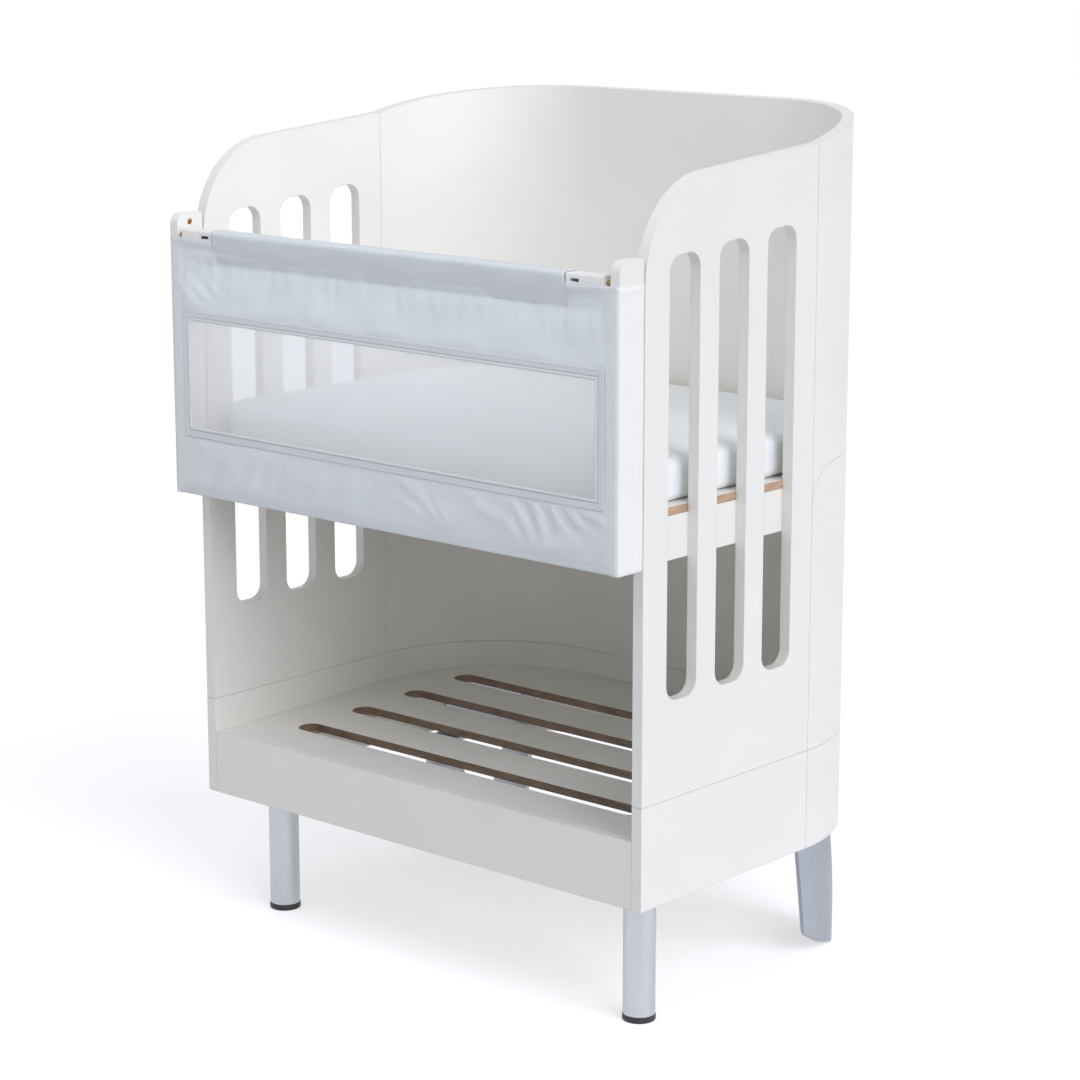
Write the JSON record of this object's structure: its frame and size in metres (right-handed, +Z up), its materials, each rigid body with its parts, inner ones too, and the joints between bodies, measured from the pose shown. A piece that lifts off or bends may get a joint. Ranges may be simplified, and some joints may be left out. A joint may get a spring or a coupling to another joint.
{
  "type": "bedside sleeper crib",
  "caption": "Bedside crib in white bent plywood, with slotted ends, a cloth guard with a mesh window that slides down the front, a raised mattress, a storage shelf and metal legs.",
  "frame": {"origin": "on the floor, under the middle of the part's bounding box", "axes": "+X to the right across the front, +Y from the cloth guard to the closed back, +Z up"},
  "size_m": [0.86, 0.6738, 1.2462],
  "materials": {
    "white_paint": "plywood with white satin paint",
    "board_paint": "plywood, white on its faces and raw brown in its slots and edges",
    "raw_wood": "bare plywood and hardwood dowel",
    "leg_metal": "satin anodised",
    "steel": "zinc plated",
    "black_plastic": "moulded, matt",
    "aluminium": "drawn tube, satin",
    "white_plastic": "moulded, satin",
    "brass": "turned pin, satin",
    "dark_knob": "moulded, matt",
    "guard_cloth": "fine plain weave, pale grey-blue",
    "post_cloth": "fine plain weave, pale grey",
    "binding": "stitched tape",
    "net": "fine knitted net",
    "mattress_cover": "smooth woven cover, bluish white"
  },
  "bodies": {
    "crib": {"back_panel_lower": "white_paint", "base_cleat_back": "white_paint", "base_dowels": "raw_wood", "base_rail_back": "white_paint", "base_rail_front": "white_paint", "base_rail_left": "white_paint", "base_rail_right": "white_paint", "base_rail_screws": "steel", "front_leg_left": "leg_metal", "front_leg_right": "leg_metal", "glide_left": "black_plastic", "glide_right": "black_plastic", "guide_studs": "steel", "leg_board_left": "raw_wood", "leg_board_right": "raw_wood", "leg_plate_left": "steel", "leg_plate_right": "steel", "leg_plate_screws": "steel", "mattress_board": "board_paint", "plinth_back": "white_paint", "plinth_front": "white_paint", "plinth_left": "white_paint", "plinth_right": "white_paint", "rear_leg_bolts": "steel", "rear_leg_left": "leg_metal", "rear_leg_right": "leg_metal", "seam_dowels": "raw_wood", "shelf_board": "board_paint", "shelf_cleat_back": "raw_wood", "shelf_cleat_front": "raw_wood", "shelf_cleat_left": "raw_wood", "shelf_cleat_right": "raw_wood", "shell_upper": "white_paint", "side_panel_left": "white_paint", "side_panel_right": "white_paint"},
    "guard": {"guard_post_left": "white_paint", "guard_post_right": "white_paint", "guide_channel_left": "aluminium", "guide_channel_right": "aluminium", "post_cover_left": "post_cloth", "post_cover_right": "post_cloth", "top_rail": "aluminium", "bottom_rail": "aluminium", "rail_fitting_left": "white_plastic", "rail_fitting_right": "white_plastic", "hem_dowels": "white_plastic", "guard_fabric": "guard_cloth", "window_piping": "binding", "mesh_window": "net"},
    "pin_left": {"rail_pin_left": "brass", "pin_knob_left": "dark_knob"},
    "pin_right": {"rail_pin_right": "brass", "pin_knob_right": "dark_knob"},
    "mattress": {"mattress": "mattress_cover"}
  },
  "joints": [
    {"name": "guard_drop", "type": "slide", "parent": "crib", "child": "guard", "axis": [0, 0, -1], "range_m": [0, 0.28]},
    {"name": "pin_left_slide", "type": "slide", "parent": "guard", "child": "pin_left", "axis": [1, 0, 0], "range_m": [0, 0.009], "stiffness_N_per_m": 300},
    {"name": "pin_right_slide", "type": "slide", "parent": "guard", "child": "pin_right", "axis": [-1, 0, 0], "range_m": [0, 0.009], "stiffness_N_per_m": 300},
    {"name": "mattress_lift", "type": "slide", "parent": "crib", "child": "mattress", "axis": [0, 0, 1], "range_m": [0, 0.3]}
  ]
}
